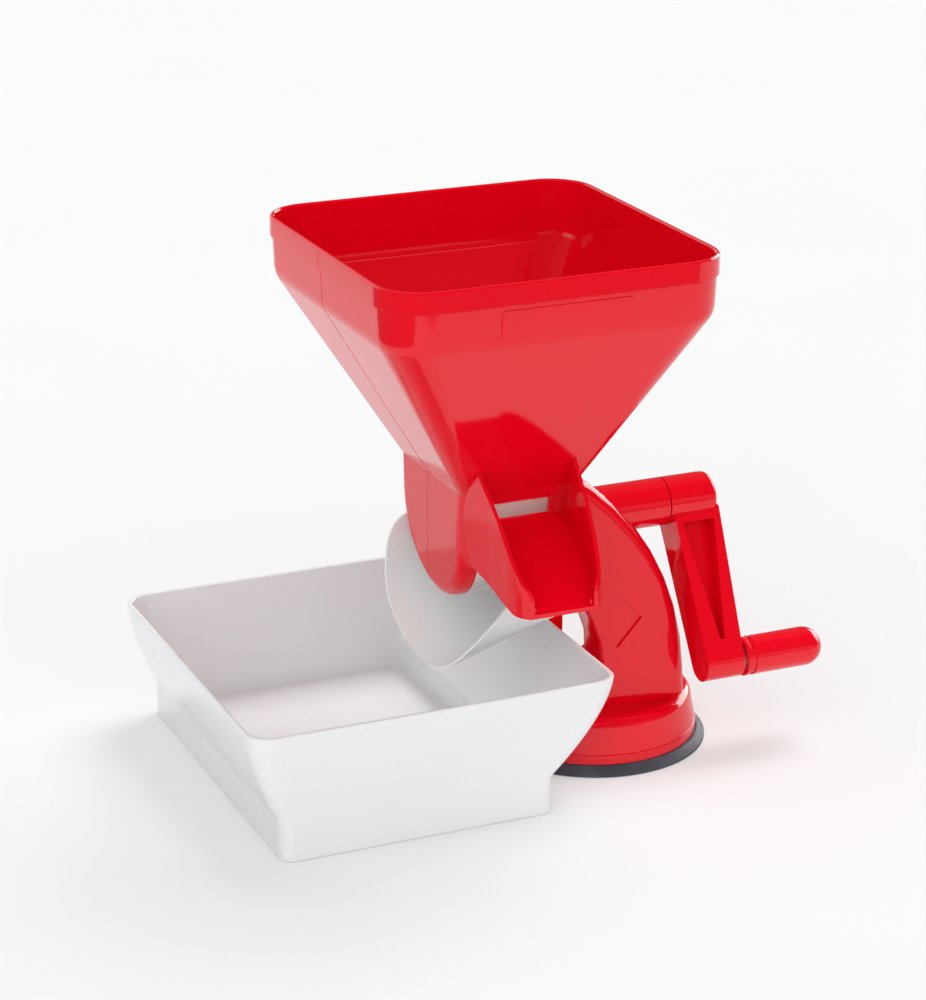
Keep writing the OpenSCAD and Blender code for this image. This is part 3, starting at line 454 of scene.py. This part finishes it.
class Shape:
    """A mesh in millimetres that ends as one piece of the mill."""

    def __init__(self) -> None:
        """Starts an empty mesh."""
        self.bm = bmesh.new()

    @classmethod
    def of_node(cls, name: str) -> "Shape":
        """A copy of a frame node, with its triangles joined into flat faces.

        Args:
            name: the node.

        Returns:
            The copy.
        """
        shape = cls()
        shape.bm.from_mesh(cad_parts[name].data)
        bmesh.ops.scale(shape.bm, vec=Vector((1, 1, 1)) / MM, verts=shape.bm.verts)
        bmesh.ops.remove_doubles(shape.bm, verts=shape.bm.verts, dist=WELD)
        bmesh.ops.dissolve_limit(
            shape.bm,
            angle_limit=math.radians(FLAT),
            verts=shape.bm.verts,
            edges=shape.bm.edges,
            delimit={"NORMAL"},
        )
        shape.bm.normal_update()
        pairs = [e for e in shape.bm.edges if len(e.link_faces) == 2]
        folds = [e for e in pairs if e.link_faces[0].normal.dot(e.link_faces[1].normal) < FOLDED]
        bmesh.ops.dissolve_edges(shape.bm, edges=folds, use_verts=False, use_face_split=False)
        return shape

    def loop(
        self, half: tuple[float, float], radius: float, at: Matrix
    ) -> list[bmesh.types.BMEdge]:
        """Adds a rounded rectangle as a ring of edges.

        Args:
            half: half width and half depth.
            radius: corner radius.
            at: where the ring's own XY plane lies.

        Returns:
            The ring's edges.
        """
        made = bmesh.ops.create_grid(self.bm, x_segments=1, y_segments=1, size=1)
        bmesh.ops.scale(self.bm, vec=(half[0], half[1], 1), verts=made["verts"])
        bmesh.ops.transform(self.bm, matrix=at, verts=made["verts"])
        before = set(self.bm.faces)
        face = made["verts"][0].link_faces[0]
        bmesh.ops.bevel(
            self.bm,
            geom=made["verts"],
            offset=radius,
            segments=CORNER,
            profile=0.5,
            affect="VERTICES",
            material=-1,
        )
        faces = [f for f in self.bm.faces if f not in before] or [face]
        edges = list({e for f in faces for e in f.edges})
        bmesh.ops.delete(self.bm, geom=faces, context="FACES_ONLY")
        return edges

    def revolve(
        self, profile: Sequence[tuple[float, float]], centre: Vector, along: Vector, steps: int = 96
    ) -> None:
        """Spins a profile into a closed body.

        Args:
            profile: (place along the axis, radius) from one end to the other.
            centre: start of the axis.
            along: direction of the axis.
            steps: faces around.
        """
        along = along.normalized()
        side = along.orthogonal().normalized()
        verts = [self.bm.verts.new(centre + along * x + side * r) for x, r in profile]
        edges = [self.bm.edges.new(pair) for pair in zip(verts, verts[1:])]
        bmesh.ops.spin(
            self.bm,
            geom=verts + edges,
            cent=centre,
            axis=along,
            angle=math.tau,
            steps=steps,
            use_merge=True,
        )
        bmesh.ops.remove_doubles(self.bm, verts=self.bm.verts, dist=WELD / 2)

    def box(self, low: Sequence[float], high: Sequence[float]) -> list[bmesh.types.BMVert]:
        """Adds a box.

        Args:
            low: its lowest corner.
            high: its highest corner.

        Returns:
            Its corners.
        """
        made = bmesh.ops.create_cube(self.bm, size=1)["verts"]
        low, high = Vector(low), Vector(high)
        bmesh.ops.scale(self.bm, vec=high - low, verts=made)
        bmesh.ops.translate(self.bm, vec=(low + high) / 2, verts=made)
        return made

    def tile(
        self, half: tuple[float, float], radius: float, at: Matrix, height: float, frame: float = 0
    ) -> None:
        """Adds a raised tile with rounded corners, or only its frame.

        Args:
            half: half width and half depth.
            radius: corner radius.
            at: where the tile's own XY plane lies; it rises along its Z.
            height: how far it rises.
            frame: width of the frame, or 0 for a whole tile.
        """
        outline = self.loop(half, radius, at)
        if frame:
            inner = self.loop((half[0] - frame, half[1] - frame), radius - frame, at)
            made = bmesh.ops.bridge_loops(self.bm, edges=outline + inner)["faces"]
        else:
            made = bmesh.ops.contextual_create(self.bm, geom=outline)["faces"]
        rise = (at.to_3x3() @ Vector((0, 0, 1))).normalized() * height
        top = bmesh.ops.extrude_face_region(self.bm, geom=made, use_keep_orig=True)["geom"]
        top = [v for v in top if isinstance(v, bmesh.types.BMVert)]
        bmesh.ops.translate(self.bm, vec=rise, verts=top)

    def cut(self, at: Sequence[float], normal: Sequence[float]) -> None:
        """Cuts off what lies on one side of a plane.

        Args:
            at: a point on the plane.
            normal: the plane's normal, towards what goes.
        """
        everything = self.bm.verts[:] + self.bm.edges[:] + self.bm.faces[:]
        bmesh.ops.bisect_plane(
            self.bm, geom=everything, plane_co=at, plane_no=normal, clear_outer=True
        )

    def publish(
        self,
        name: str,
        body: str,
        finish: Finish,
        replaced: Iterable[str] = (),
        edges: Optional[Edges] = None,
        turn_out: bool = False,
    ) -> bpy.types.Object:
        """Makes the mesh a piece.

        Args:
            name: the piece's name.
            body: body that it moves with.
            finish: its finish.
            replaced: frame nodes that it stands for.
            edges: how its edges are rounded.
            turn_out: recalculates the normals first.

        Returns:
            The piece.
        """
        if turn_out:
            bmesh.ops.recalc_face_normals(self.bm, faces=self.bm.faces)
        bmesh.ops.scale(self.bm, vec=(MM, MM, MM), verts=self.bm.verts)
        mesh = bpy.data.meshes.new(name)
        self.bm.to_mesh(mesh)
        self.bm.free()
        mesh.materials.append(finish.material())
        mesh.polygons.foreach_set("use_smooth", [True] * len(mesh.polygons))
        mesh.set_sharp_from_angle(angle=math.radians(SMOOTH))
        piece = bpy.data.objects.new(name, mesh)
        bpy.context.scene.collection.objects.link(piece)
        if edges:
            rounding = piece.modifiers.new("rounded edges", "BEVEL")
            rounding.width = edges.width * MM
            rounding.segments = edges.segments
            rounding.limit_method = "ANGLE"
            rounding.angle_limit = math.radians(edges.above)
            rounding.miter_outer = "MITER_ARC"
            even = piece.modifiers.new("even shading", "WEIGHTED_NORMAL")
            even.keep_sharp = True
            even.weight = edges.weight
        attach(piece, body)
        if replaced:
            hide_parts(*replaced)
        LOG.info("%s: %d faces, on %s", name, len(mesh.polygons), body)
        return piece


def dress(node: str, finish: Finish) -> None:
    """Gives a frame node its finish.

    Args:
        node: the node.
        finish: its finish.
    """
    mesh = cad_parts[node].data
    mesh.materials.clear()
    mesh.materials.append(finish.material())
    LOG.info("%s: dressed in %s", node, finish.slot)


def recast(
    node: str, name: str, body: str, finish: Finish, edges: Optional[Edges] = None
) -> bpy.types.Object:
    """Replaces a node with a copy that has rounded edges and smooth curves.

    Args:
        node: the node.
        name: name of the new piece.
        body: body that it moves with.
        finish: its finish.
        edges: how its edges are rounded, or None to keep them sharp.

    Returns:
        The piece.
    """
    return Shape.of_node(node).publish(name, body, finish, [node], edges)


def upright(at: Sequence[float], lean: float) -> Matrix:
    """A frame whose own XY plane stands up and faces the mill's front.

    Args:
        at: its origin.
        lean: how far it leans back, in radians.

    Returns:
        The frame.
    """
    return Matrix.Translation(at) @ Matrix.Rotation(math.radians(90) + lean, 4, "X")


# ---------- sub-assemblies ----------


@dataclass
class Housing:
    """Hopper and barrel in one moulding, with a bare plate and a parting line."""

    edge: float = 0.9
    plate_left: float = -116.0
    plate_right: float = -31.0
    plate_low: float = 311.3
    plate_high: float = 328.7
    plate_rise: float = 0.7
    plate_sunk: float = 0.1
    plate_round: float = 3.0
    plate_edge: float = 0.25
    band_low_y: float = -111.1
    band_top_y: float = -112.0
    band_low: float = 308.0
    band_top: float = 331.2
    seam_y: float = 4.5
    seam_w: float = 0.3
    seam_rise: float = 0.12
    seam_top: float = 342.5
    seam_out: float = 5.0
    seam_level: float = 0.8
    middle_x: float = -74.2

    def build(self) -> None:
        """Builds and dresses the housing."""
        recast("hopper_body", "hopper_shell", "stand", Finish.RED, Edges(self.edge))
        self.plate()
        self.seam()

    def plate(self) -> None:
        """Builds the bare raised plate on the front of the hopper's band."""
        across = (self.plate_left + self.plate_right) / 2
        up = (self.plate_low + self.plate_high) / 2
        drift = self.band_top_y - self.band_low_y
        height = self.band_top - self.band_low
        depth = self.band_low_y + drift * ((up - self.band_low) / height) + self.plate_sunk
        at = upright((across, depth, up), math.atan(-drift / height))
        half = ((self.plate_right - self.plate_left) / 2, (self.plate_high - self.plate_low) / 2)
        plate = Shape()
        plate.tile(half, self.plate_round, at, self.plate_rise + self.plate_sunk)
        edges = Edges(self.plate_edge)
        plate.publish("bare_plate", "stand", Finish.RED, edges=edges, turn_out=True)

    def seam(self) -> None:
        """Builds the thin parting line down the hopper's sides and the barrel's ends."""
        seam = Shape.of_node("hopper_body")
        seam.cut((0, self.seam_y - self.seam_w / 2, 0), (0, -1, 0))
        seam.cut((0, self.seam_y + self.seam_w / 2, 0), (0, 1, 0))
        seam.cut((0, 0, self.seam_top), (0, 0, 1))
        inner = [
            f
            for f in seam.bm.faces
            if (f.calc_center_median().x - self.middle_x) * f.normal.x < self.seam_out
            or abs(f.normal.z) > self.seam_level
        ]
        bmesh.ops.delete(seam.bm, geom=inner, context="FACES")
        bmesh.ops.solidify(seam.bm, geom=seam.bm.faces[:], thickness=-self.seam_rise)
        seam.publish("parting_line", "stand", Finish.RED)


@dataclass
class Sieve:
    """Perforated sheet that is the barrel's floor, bent to its two arcs."""

    left: float = -102.2
    right: float = -43.2
    axis_y: float = -9.0
    front_z: float = 157.0
    front_r: float = 39.0
    rear_z: float = 176.5
    rear_r: float = 58.5
    front_l: float = 54.0
    rear_l: float = 53.0
    columns: int = 32
    rows: int = 58
    hole_r: float = 0.95
    hole_steps: int = 3
    border: float = 1.7
    thickness: float = 0.8

    def bent(self, flat: Vector) -> Vector:
        """Place on the barrel of a place on the flat sheet.

        Args:
            flat: place with X along the barrel and Y along the arc, from its lowest line.

        Returns:
            The place on the bent sheet.
        """
        front = flat.y < 0
        radius, middle = (self.front_r, self.front_z) if front else (self.rear_r, self.rear_z)
        turn = flat.y / radius
        back, down = radius * math.sin(turn), radius * math.cos(turn)
        return Vector((flat.x, self.axis_y + back, middle - down))

    def build(self) -> None:
        """Builds the sheet, with a round hole at every other crossing of its grid."""
        sheet = Shape()
        half = Vector(((self.right - self.left) / 2, (self.front_l + self.rear_l) / 2, 1))
        made = bmesh.ops.create_grid(
            sheet.bm, x_segments=self.columns, y_segments=self.rows, size=1
        )["verts"]
        holes = [
            v
            for v in made
            if round((v.co.x + 1) * self.columns / 2 + (v.co.y + 1) * self.rows / 2) % 2 == 0
            and (1 - abs(v.co.x)) * half.x > self.border
            and (1 - abs(v.co.y)) * half.y > self.border
        ]
        bmesh.ops.scale(sheet.bm, vec=half, verts=made)
        middle = Vector(((self.right + self.left) / 2, (self.rear_l - self.front_l) / 2, 0))
        bmesh.ops.translate(sheet.bm, vec=middle, verts=made)
        rounds = bmesh.ops.bevel(
            sheet.bm,
            geom=holes,
            offset=self.hole_r,
            offset_type="OFFSET",
            segments=self.hole_steps,
            profile=0.5,
            affect="VERTICES",
            material=-1,
        )["faces"]
        bmesh.ops.delete(sheet.bm, geom=rounds, context="FACES")
        for vert in sheet.bm.verts:
            vert.co = self.bent(vert.co)
        bmesh.ops.recalc_face_normals(sheet.bm, faces=sheet.bm.faces)
        bmesh.ops.solidify(sheet.bm, geom=sheet.bm.faces[:], thickness=self.thickness)
        sheet.publish("sieve_sheet", "stand", Finish.SIEVE, ["sieve_screen"])


@dataclass
class Chute:
    """Waste chute with its gussets, its slot's brow and an ejector's mark."""

    edge: float = 0.7
    middle_x: float = -74.2
    wall: float = 2.6
    lip_y: float = -112.0
    lip_z: float = 135.0
    lip_half: float = 22.3
    flare: float = 8.2
    flare_y: float = -80.0
    root_y: float = -46.0
    flare_low: float = 138.0
    flare_top: float = 172.0
    gusset_l: float = 17.0
    gusset_h: float = 6.5
    gusset_t: float = 2.4
    gusset_out: float = 0.3
    gusset_over: float = 2.0
    gusset_in: float = 1.6
    gusset_up: float = 1.5
    gusset_taper: float = 2.9
    gusset_splay: float = 6.5
    gusset_slope: float = 0.7
    gusset_edge: float = 0.5
    brow_z: float = 187.4
    brow_h: float = 1.2
    brow_half: float = 20.5
    brow_front: float = -50.9
    brow_back: float = -48.8
    brow_edge: float = 0.35
    mark: Triple = (-49.6, -49.5, 181.5)
    mark_half: tuple[float, float] = (3.0, 8.0)
    mark_round: float = 2.95
    mark_w: float = 0.6
    mark_rise: float = 0.35
    mark_lean: float = 4.0
    mark_edge: float = 0.12

    def build(self) -> None:
        """Builds and dresses the chute, its left wall flared back to the barrel's end."""
        chute = Shape.of_node("waste_chute")
        for vert in chute.bm.verts:
            if vert.co.x < self.middle_x - self.lip_half and vert.co.y > self.flare_y:
                share = (vert.co.y - self.flare_y) / (self.root_y - self.flare_y)
                height = (vert.co.z - self.flare_low) / (self.flare_top - self.flare_low)
                vert.co.x -= self.flare * share * min(max(height, 0), 1)
        chute.publish("chute_shell", "stand", Finish.RED, ["waste_chute"], Edges(self.edge))
        self.gussets()
        self.brow()
        self.ejector()

    def gussets(self) -> None:
        """Builds the two wedges that stiffen the walls at the lip."""
        gussets = Shape()
        for side in (-1, 1):
            wall = self.middle_x + side * (self.lip_half - self.wall + self.gusset_out)
            one = wall - side * self.gusset_t
            other = wall + side * self.gusset_over
            low = (min(one, other), self.lip_y + self.gusset_in, self.lip_z + self.gusset_up)
            high = (max(one, other), self.lip_y + self.gusset_l, self.lip_z + self.gusset_h)
            corners = gussets.box(low, high)
            back = [v for v in corners if v.co.y > self.lip_y + self.gusset_l / 2]
            inner = [v for v in back if side * (v.co.x - wall) < 0]
            away = (side * self.gusset_splay, 0, self.gusset_l * self.gusset_slope)
            bmesh.ops.translate(gussets.bm, vec=(side * self.gusset_taper, 0, 0), verts=inner)
            bmesh.ops.translate(gussets.bm, vec=away, verts=back)
        edges = Edges(self.gusset_edge)
        gussets.publish("chute_gussets", "stand", Finish.RED, edges=edges, turn_out=True)

    def brow(self) -> None:
        """Builds the thin ridge over the waste slot."""
        brow = Shape()
        low = (self.middle_x - self.brow_half, self.brow_front, self.brow_z)
        high = (self.middle_x + self.brow_half, self.brow_back, self.brow_z + self.brow_h)
        brow.box(low, high)
        edges = Edges(self.brow_edge, 2)
        brow.publish("slot_brow", "stand", Finish.RED, edges=edges, turn_out=True)

    def ejector(self) -> None:
        """Builds the oblong outline beside the slot."""
        at = upright(self.mark, math.radians(self.mark_lean))
        mark = Shape()
        mark.tile(self.mark_half, self.mark_round, at, self.mark_rise, self.mark_w)
        edges = Edges(self.mark_edge, 2)
        mark.publish("ejector_mark", "stand", Finish.RED, edges=edges, turn_out=True)


@dataclass
class Stand:
    """Arched leg, base, suction pad and the lever behind them."""

    diamond_z: float = 90.3
    diamond_x: float = 0.2
    diamond_half: float = 18.0
    diamond_deep: float = 1.5
    front_facing: float = -0.99
    gate_at: Triple = (14.5, -39.4, 37.4)
    gate_half: Triple = (4.2, 0.6, 0.8)

    def build(self) -> None:
        """Builds and dresses the stand."""
        self.leg()
        self.gate()
        recast("base_ring", "base_band", "stand", Finish.RED, Edges(0.5))
        recast("suction_pad", "rubber_foot", "stand", Finish.PAD, Edges(0.6))
        recast("suction_lever", "lever_paddle", "lever", Finish.LEVER, Edges(0.8))
        for node, finish in {
            "base_screws": Finish.ZINC,
            "suction_stud": Finish.ZINC,
            "lift_cam": Finish.ZINC,
            "lever_axle_clip": Finish.SPRING,
        }.items():
            dress(node, finish)

    def leg(self) -> None:
        """Builds the leg, with a bare diamond sunk in its flat front."""
        leg = Shape.of_node("leg_column")
        fronts = [f for f in leg.bm.faces if f.normal.y < self.front_facing]
        front = max(fronts, key=lambda f: f.calc_area())
        inward = -front.normal.copy()
        geom = [front, *front.edges, *front.verts]
        middle = Vector((self.diamond_x, front.calc_center_median().y, self.diamond_z))
        for turn in (45, 135, 225, 315):
            way = Vector((math.cos(math.radians(turn)), 0, math.sin(math.radians(turn))))
            at = middle + way * self.diamond_half * math.sqrt(0.5)
            geom = bmesh.ops.bisect_plane(leg.bm, geom=geom, plane_co=at, plane_no=way)["geom"]
        flat = [f for f in geom if isinstance(f, bmesh.types.BMFace)]
        inside = min(flat, key=lambda f: (f.calc_center_median() - middle).length)
        sunk = bmesh.ops.extrude_face_region(leg.bm, geom=[inside])["geom"]
        bmesh.ops.delete(leg.bm, geom=[inside], context="FACES_ONLY")
        floor = [v for v in sunk if isinstance(v, bmesh.types.BMVert)]
        bmesh.ops.translate(leg.bm, vec=inward * self.diamond_deep, verts=floor)
        leg.publish("leg_shell", "stand", Finish.RED, ["leg_column"], Edges(0.6))

    def gate(self) -> None:
        """Builds the small lens-shaped mark low on the leg's front."""
        gate = Shape()
        ball = bmesh.ops.create_uvsphere(gate.bm, u_segments=32, v_segments=16, radius=1)
        bmesh.ops.scale(gate.bm, vec=self.gate_half, verts=ball["verts"])
        bmesh.ops.translate(gate.bm, vec=self.gate_at, verts=ball["verts"])
        gate.publish("gate_mark", "stand", Finish.RED)


@dataclass
class Rotor:
    """Shaft, bushes, drum, sprung blades, crank arm and grip."""

    axis: Triple = (0, -9.0, 157.0)
    hub_end: float = 77.0
    hub_r: float = 15.5
    shoulder_l: float = 13.0
    shoulder_round: float = 5.0
    shoulder_core: float = 1.0
    shoulder_step: int = 15
    upper_seat: float = 160.6
    lower_seat: float = 153.4
    coils_l: float = 10.3
    blade_travel: float = 6.0

    def build(self) -> None:
        """Builds and dresses what turns and what it turns in."""
        recast("crank_arm", "crank_casting", "rotor", Finish.RED, Edges(0.8))
        self.shoulder()
        recast("hand_grip", "grip_barrel", "grip", Finish.GRIP, Edges(0.6))
        recast("rotor_drum", "drum_core", "rotor", Finish.ROTOR, Edges(0.5))
        recast("upper_blade", "blade_above", "upper_wiper", Finish.BLADE, Edges(0.3))
        recast("lower_blade", "blade_below", "lower_wiper", Finish.BLADE, Edges(0.3))
        for node, finish in {
            "left_bush": Finish.BEARING,
            "inner_shaft_bush": Finish.BEARING,
            "outer_shaft_bush": Finish.BEARING,
            "shaft_seal": Finish.SEAL,
            "drive_shaft": Finish.SHAFT,
            "shaft_clip": Finish.SPRING,
            "grip_spindle": Finish.SHAFT,
            "grip_washer": Finish.ZINC,
        }.items():
            dress(node, finish)
        self.coils("upper_blade")
        self.coils("lower_blade")

    def coils(self, blade: str) -> None:
        """Builds the two springs of a blade.

        Args:
            blade: the blade's node.
        """
        springs = recast(f"{blade}_springs", f"{blade}_coils", "rotor", Finish.SPRING)
        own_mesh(springs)

    def shoulder(self) -> None:
        """Fills out the round end of the crank's hub down to the arm's outer rail."""
        start = self.hub_end - self.shoulder_l
        profile = [(start, self.shoulder_core), (start, self.hub_r)]
        for turn in range(0, 91, self.shoulder_step):
            across = self.shoulder_round * math.sin(math.radians(turn))
            inwards = self.shoulder_round * (1 - math.cos(math.radians(turn)))
            profile.append((self.hub_end - self.shoulder_round + across, self.hub_r - inwards))
        profile.append((self.hub_end, self.shoulder_core))
        shoulder = Shape()
        shoulder.revolve(profile, Vector(self.axis), Vector((1, 0, 0)))
        shoulder.publish("hub_shoulder", "rotor", Finish.RED, turn_out=True)


@dataclass
class Catchers:
    """Juice guard under the sieve, and the bowl."""

    def build(self) -> None:
        """Builds and dresses the guard and the bowl."""
        recast("juice_guard", "guard_trough", "guard", Finish.WHITE, Edges(0.7))
        recast("catch_bowl", "bowl_shell", "bowl", Finish.BOWL, Edges(1.0))


# ---------- studio ----------


@dataclass(frozen=True)
class Panel:
    """A soft rectangular light, far off, that the gloss shows."""

    towards: Triple
    half_width: float
    half_height: float
    strength: float
    soft: float = 0.25


@dataclass(frozen=True)
class Lamp:
    """A far light with soft edges, which the gloss doesn't show; its angle is in degrees."""

    name: str
    towards: Triple
    strength: float
    angle: float

    def build(self) -> None:
        """Adds the lamp."""
        data = bpy.data.lights.new(self.name, "SUN")
        data.energy = self.strength
        data.angle = math.radians(self.angle)
        lamp = bpy.data.objects.new(self.name, data)
        lamp.visible_glossy = False
        lamp.rotation_mode = "QUATERNION"
        lamp.rotation_quaternion = Vector(self.towards).to_track_quat("Z", "Y")
        bpy.context.scene.collection.objects.link(lamp)


@dataclass
class Studio:
    """Pale floor, soft light and the camera.

    The floor's sizes are in metres. The room's light and the gloss are each a
    brightest direction, the level across it and how much brighter it is there.
    """

    paper: float = 0.939
    paper_tint: tuple[Colour, Colour] = ((0.85, 0.86, 0.865), (0.86, 0.87, 0.875))
    paper_clouds: float = 3.0
    clean: float = 0.35
    floor_size: float = 40.0
    floor_drop: float = 0.0002
    table_left: float = -0.62
    table_front: float = -0.9
    table_edge: float = -0.1
    beyond: float = 0.2
    room: tuple[Triple, float, float] = ((-0.3, -0.95, 0.15), 0.42, 0.25)
    gloss: tuple[Triple, float, float] = ((-0.375, 0.863, 0.4), 0.06, 0.2)
    target: Triple = (-91.8, 0, 173.82)
    azimuth: float = -23.5
    elevation: float = 19.72
    distance: float = 1858.96
    lens: float = 106.99
    sensor: float = 36.0
    clip: float = 100.0
    panels: tuple[Panel, ...] = (
        Panel((0.85, 0.32, 0.27), 0.42, 0.3, 6.0),
        Panel((-0.375, 0.863, 0.25), 0.9, 0.45, 0.75),
        Panel((-0.96, -0.1, 0.2), 0.35, 0.3, 1.2),
        Panel((0.1, -1.0, 0.12), 1.2, 0.2, 0.35),
        Panel((0.36, -0.74, 0.55), 0.05, 0.03, 0.9),
    )
    lamps: tuple[Lamp, ...] = (
        Lamp("key", (0.5, 0.25, 1.0), 1.6, 34),
        Lamp("front", (-0.1, -1.0, 0.25), 0.9, 90),
        Lamp("left", (-1.0, -0.45, 0.7), 0.6, 70),
    )

    def build(self) -> None:
        """Builds the floor, the light and the camera."""
        self.floor()
        self.sky()
        for lamp in self.lamps:
            lamp.build()
        self.camera()
        bpy.context.scene.view_settings.view_transform = "Standard"

    def floor(self) -> None:
        """A wide pale floor; in the gloss it ends at the edges of a table."""
        bm = bmesh.new()
        bmesh.ops.create_grid(bm, x_segments=1, y_segments=1, size=self.floor_size / 2)
        bmesh.ops.translate(bm, vec=(0, 0, -self.floor_drop), verts=bm.verts)
        mesh = bpy.data.meshes.new("floor")
        bm.to_mesh(mesh)
        bm.free()
        graph = Graph("studio paper")
        at = graph.place()
        clouds = graph.spread(graph.noise(at, self.paper_clouds), 0, 1)
        tint = graph.blend(clouds, *self.paper_tint)
        paper = graph.add("BsdfDiffuse", {"Color": tint})
        place = graph.add("SeparateXYZ", {0: at}).outputs
        left = graph.above(self.table_left, place["X"], self.table_edge)
        front = graph.above(self.table_front, place["Y"], self.table_edge)
        path = graph.add("LightPath").outputs
        off = graph.math("MULTIPLY", graph.math("MAXIMUM", left, front), path["Is Glossy Ray"])
        beyond = graph.add("Emission", {"Color": PLAIN, "Strength": self.beyond})
        lit = graph.add("MixShader", {0: off, 1: paper.outputs[0], 2: beyond.outputs[0]})
        plain = graph.add("Emission", {"Color": PLAIN, "Strength": self.paper})
        clean = graph.math("MULTIPLY", path["Is Camera Ray"], self.clean)
        mixed = graph.add("MixShader", {0: clean, 1: lit.outputs[0], 2: plain.outputs[0]})
        graph.add("OutputMaterial", {"Surface": mixed.outputs[0]})
        mesh.materials.append(graph.material)
        floor = bpy.data.objects.new("floor", mesh)
        bpy.context.scene.collection.objects.link(floor)

    def sky(self) -> None:
        """Even light from all round; the gloss also shows soft bright panels."""
        world = bpy.data.worlds.new("studio")
        bpy.context.scene.world = world
        world.use_nodes = True
        graph = Graph.on(world.node_tree)
        way = graph.add("TexCoord").outputs["Generated"]
        room = graph.shade(way, *self.room)
        gloss = graph.shade(way, *self.gloss)
        for panel in self.panels:
            gloss = graph.math("ADD", gloss, graph.panel(way, panel))
        path = graph.add("LightPath").outputs
        seen = graph.math("MAXIMUM", path["Is Camera Ray"], path["Is Transmission Ray"])
        soft, mirrored, plain = (
            graph.add("Background", {"Color": PLAIN, "Strength": strength}).outputs[0]
            for strength in (room, gloss, self.paper)
        )
        lit = graph.add("MixShader", {0: path["Is Glossy Ray"], 1: soft, 2: mirrored})
        mixed = graph.add("MixShader", {0: seen, 1: lit.outputs[0], 2: plain})
        graph.add("OutputWorld", {"Surface": mixed.outputs[0]})

    def camera(self) -> None:
        """The camera, in front and to the left of the mill, a little above it."""
        turn, rise = math.radians(self.azimuth), math.radians(self.elevation)
        flat = Vector((math.sin(turn), -math.cos(turn), 0)) * math.cos(rise)
        back = flat + Vector((0, 0, math.sin(rise)))
        data = bpy.data.cameras.new("camera")
        data.lens = self.lens
        data.sensor_width = self.sensor
        data.clip_end = self.clip
        camera = bpy.data.objects.new("camera", data)
        camera.rotation_mode = "QUATERNION"
        camera.rotation_quaternion = back.to_track_quat("Z", "Y")
        camera.location = (Vector(self.target) + back * self.distance) * MM
        bpy.context.scene.collection.objects.link(camera)
        bpy.context.scene.camera = camera


def main() -> None:
    """Builds the studio and the mill, in order."""
    logging.basicConfig(level=logging.INFO, format="%(message)s")
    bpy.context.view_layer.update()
    Studio().build()
    for assembly in (Housing(), Sieve(), Chute(), Stand(), Rotor(), Catchers()):
        assembly.build()


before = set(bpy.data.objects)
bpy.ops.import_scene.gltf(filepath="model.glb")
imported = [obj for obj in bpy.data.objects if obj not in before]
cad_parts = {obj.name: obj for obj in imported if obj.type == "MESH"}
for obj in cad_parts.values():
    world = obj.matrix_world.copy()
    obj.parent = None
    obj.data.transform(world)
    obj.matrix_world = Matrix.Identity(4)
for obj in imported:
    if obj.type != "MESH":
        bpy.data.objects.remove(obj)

if __name__ == "__main__":
    main()
